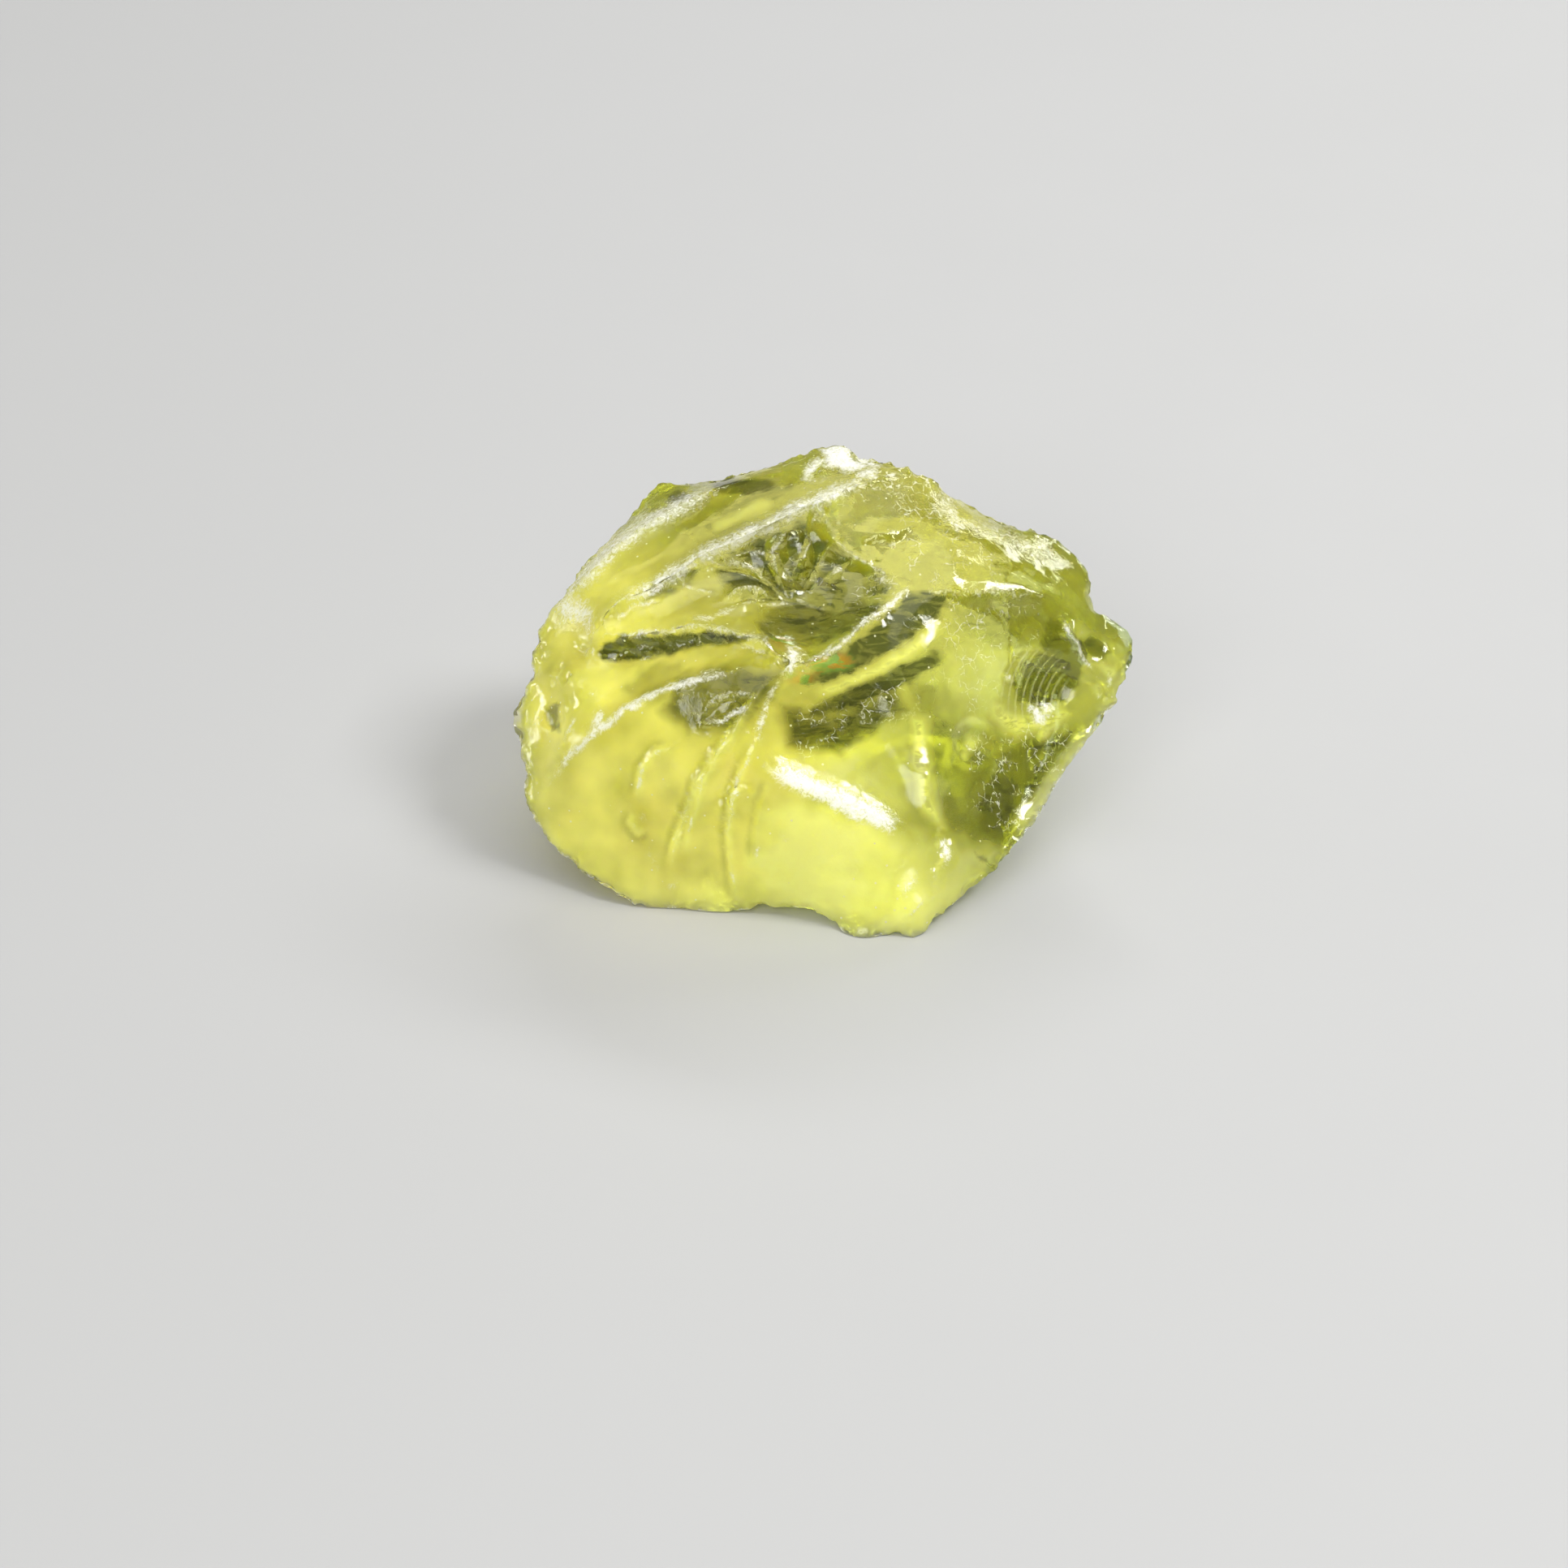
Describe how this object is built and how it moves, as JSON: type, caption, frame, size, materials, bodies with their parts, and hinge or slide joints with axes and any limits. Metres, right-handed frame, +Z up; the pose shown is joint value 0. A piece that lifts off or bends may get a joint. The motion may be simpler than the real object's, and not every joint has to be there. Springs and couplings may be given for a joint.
{
  "type": "raw prasiolite",
  "caption": "Rough piece of clear yellow-green quartz with curved fracture faces, a ledge over a deep hollow, sharp ridges and a level underside.",
  "frame": {"origin": "middle of the outer box, at the level underside", "axes": "+X across the stone, towards its pointed end; +Y away from the face with the ledge and the hollow; +Z up"},
  "size_m": [0.0462, 0.034, 0.0248],
  "materials": {
    "prasiolite": "clear yellow-green quartz, glossy on its fracture faces and frosted along its broken rims"
  },
  "bodies": {
    "root": {"raw_prasiolite": "prasiolite"}
  },
  "joints": []
}
